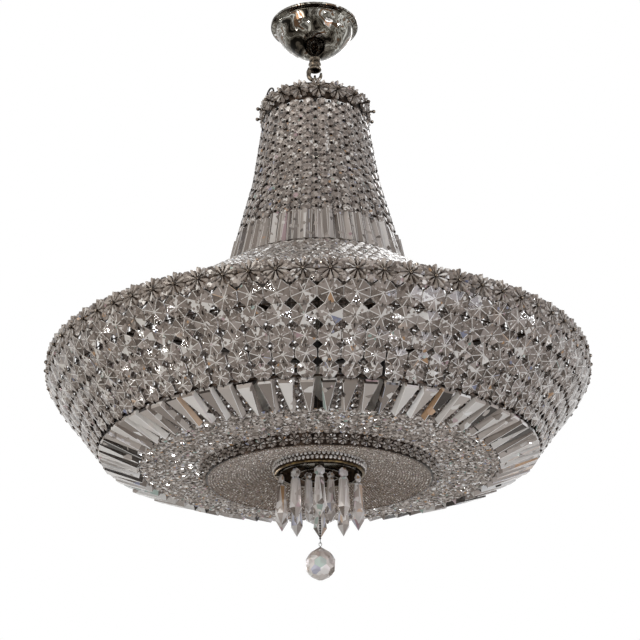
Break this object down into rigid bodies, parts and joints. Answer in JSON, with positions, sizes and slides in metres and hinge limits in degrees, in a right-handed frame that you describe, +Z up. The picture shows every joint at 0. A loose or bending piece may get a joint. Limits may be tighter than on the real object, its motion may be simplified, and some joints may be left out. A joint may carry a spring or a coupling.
{
  "type": "crystal basket chandelier",
  "caption": "Ceiling chandelier with a crown and tent of crystal strands, a wide rim of rosettes, a basket of cut crystals, hanging prism drops and a faceted ball.",
  "frame": {"origin": "centre of the canopy's rim in the ceiling plane, midway between the two ceiling-box screws", "axes": "+Z up into the ceiling, X along the mounting bar's two screw holes, -Y towards the viewer"},
  "size_m": [0.7582, 0.7582, 0.866],
  "materials": {
    "polished_nickel": "polished nickel plate",
    "zinc_plated_steel": "zinc plated",
    "aged_nickel": "darkened nickel plate",
    "brass": "polished brass",
    "cut_crystal": "cut and polished",
    "paved_crystal": "small stones on a shell",
    "socket_plastic": "matt",
    "bulb_glass": "clear"
  },
  "bodies": {
    "ceiling_mount": {"mounting_bar": "zinc_plated_steel", "nipple": "polished_nickel", "nipple_locknut": "zinc_plated_steel", "canopy": "polished_nickel", "canopy_collar": "polished_nickel", "ceiling_hook": "polished_nickel"},
    "hanging_link": {"hanging_link": "polished_nickel"},
    "chandelier": {"top_eye": "polished_nickel", "stem_tube": "polished_nickel", "stem_rod": "polished_nickel", "crown_ring": "aged_nickel", "crown_spider": "aged_nickel", "crown_wire": "aged_nickel", "tent_hoop": "aged_nickel", "rim_ring": "aged_nickel", "rim_spider": "aged_nickel", "prism_hoop": "aged_nickel", "bottom_ring": "aged_nickel", "foot_spider": "aged_nickel", "finial_plate": "aged_nickel", "finial_collar": "aged_nickel", "finial_band": "brass", "finial_nut": "aged_nickel", "drop_ring": "aged_nickel", "inner_drop_ring": "aged_nickel", "crown_rosettes": "cut_crystal", "tent_strands": "cut_crystal", "tent_prisms": "cut_crystal", "flare_strands": "cut_crystal", "rim_rosettes": "cut_crystal", "basket_row_1": "cut_crystal", "basket_row_2": "cut_crystal", "basket_row_3": "cut_crystal", "basket_row_4": "cut_crystal", "basket_row_5": "cut_crystal", "basket_prisms": "cut_crystal", "lower_strands": "cut_crystal", "bottom_rosettes": "cut_crystal", "dish": "paved_crystal", "lamp_sockets": "socket_plastic", "lamp_bulbs": "bulb_glass"},
    "drop_01": {"drop_01": "cut_crystal"},
    "drop_02": {"drop_02": "cut_crystal"},
    "drop_03": {"drop_03": "cut_crystal"},
    "drop_04": {"drop_04": "cut_crystal"},
    "drop_05": {"drop_05": "cut_crystal"},
    "drop_06": {"drop_06": "cut_crystal"},
    "drop_07": {"drop_07": "cut_crystal"},
    "drop_08": {"drop_08": "cut_crystal"},
    "drop_09": {"drop_09": "cut_crystal"},
    "drop_10": {"drop_10": "cut_crystal"},
    "small_drop_1": {"small_drop_1": "cut_crystal"},
    "small_drop_2": {"small_drop_2": "cut_crystal"},
    "small_drop_3": {"small_drop_3": "cut_crystal"},
    "small_drop_4": {"small_drop_4": "cut_crystal"},
    "small_drop_5": {"small_drop_5": "cut_crystal"},
    "small_drop_6": {"small_drop_6": "cut_crystal"},
    "pendant_chain": {"pendant_chain": "aged_nickel"},
    "crystal_ball": {"crystal_ball": "cut_crystal"}
  },
  "joints": [
    {"name": "link_swing", "type": "hinge", "parent": "ceiling_mount", "child": "hanging_link", "pos_m": [0, 0, -0.0963], "axis": [1, 0, 0], "range_deg": [-15, 15]},
    {"name": "chandelier_swing", "type": "hinge", "parent": "hanging_link", "child": "chandelier", "pos_m": [0, 0, -0.10865], "axis": [0, 1, 0], "range_deg": [-15, 15]},
    {"name": "drop_01_swing", "type": "hinge", "parent": "chandelier", "child": "drop_01", "pos_m": [0, 0.0545, -0.72], "axis": [1, 0, 0], "range_deg": [-5, 30]},
    {"name": "drop_02_swing", "type": "hinge", "parent": "chandelier", "child": "drop_02", "pos_m": [-0.03203, 0.04409, -0.72], "axis": [0.809, 0.5878, 0], "range_deg": [-5, 30]},
    {"name": "drop_03_swing", "type": "hinge", "parent": "chandelier", "child": "drop_03", "pos_m": [-0.05183, 0.01684, -0.72], "axis": [0.309, 0.9511, 0], "range_deg": [-5, 30]},
    {"name": "drop_04_swing", "type": "hinge", "parent": "chandelier", "child": "drop_04", "pos_m": [-0.05183, -0.01684, -0.72], "axis": [-0.309, 0.9511, 0], "range_deg": [-5, 30]},
    {"name": "drop_05_swing", "type": "hinge", "parent": "chandelier", "child": "drop_05", "pos_m": [-0.03203, -0.04409, -0.72], "axis": [-0.809, 0.5878, 0], "range_deg": [-5, 30]},
    {"name": "drop_06_swing", "type": "hinge", "parent": "chandelier", "child": "drop_06", "pos_m": [0, -0.0545, -0.72], "axis": [-1, 0, 0], "range_deg": [-5, 30]},
    {"name": "drop_07_swing", "type": "hinge", "parent": "chandelier", "child": "drop_07", "pos_m": [0.03203, -0.04409, -0.72], "axis": [-0.809, -0.5878, 0], "range_deg": [-5, 30]},
    {"name": "drop_08_swing", "type": "hinge", "parent": "chandelier", "child": "drop_08", "pos_m": [0.05183, -0.01684, -0.72], "axis": [-0.309, -0.9511, 0], "range_deg": [-5, 30]},
    {"name": "drop_09_swing", "type": "hinge", "parent": "chandelier", "child": "drop_09", "pos_m": [0.05183, 0.01684, -0.72], "axis": [0.309, -0.9511, 0], "range_deg": [-5, 30]},
    {"name": "drop_10_swing", "type": "hinge", "parent": "chandelier", "child": "drop_10", "pos_m": [0.03203, 0.04409, -0.72], "axis": [0.809, -0.5878, 0], "range_deg": [-5, 30]},
    {"name": "small_drop_1_swing", "type": "hinge", "parent": "chandelier", "child": "small_drop_1", "pos_m": [0.03, 0, -0.72], "axis": [0, -1, 0], "range_deg": [-8, 6]},
    {"name": "small_drop_2_swing", "type": "hinge", "parent": "chandelier", "child": "small_drop_2", "pos_m": [0.015, 0.02598, -0.72], "axis": [0.866, -0.5, 0], "range_deg": [-8, 6]},
    {"name": "small_drop_3_swing", "type": "hinge", "parent": "chandelier", "child": "small_drop_3", "pos_m": [-0.015, 0.02598, -0.72], "axis": [0.866, 0.5, 0], "range_deg": [-8, 6]},
    {"name": "small_drop_4_swing", "type": "hinge", "parent": "chandelier", "child": "small_drop_4", "pos_m": [-0.03, 0, -0.72], "axis": [0, 1, 0], "range_deg": [-8, 6]},
    {"name": "small_drop_5_swing", "type": "hinge", "parent": "chandelier", "child": "small_drop_5", "pos_m": [-0.015, -0.02598, -0.72], "axis": [-0.866, 0.5, 0], "range_deg": [-8, 6]},
    {"name": "small_drop_6_swing", "type": "hinge", "parent": "chandelier", "child": "small_drop_6", "pos_m": [0.015, -0.02598, -0.72], "axis": [-0.866, -0.5, 0], "range_deg": [-8, 6]},
    {"name": "chain_swing", "type": "hinge", "parent": "chandelier", "child": "pendant_chain", "pos_m": [0, 0, -0.72], "axis": [1, 0, 0], "range_deg": [-15, 15]},
    {"name": "ball_swing", "type": "hinge", "parent": "pendant_chain", "child": "crystal_ball", "pos_m": [0, 0, -0.8169], "axis": [0, 1, 0], "range_deg": [-20, 20]}
  ]
}
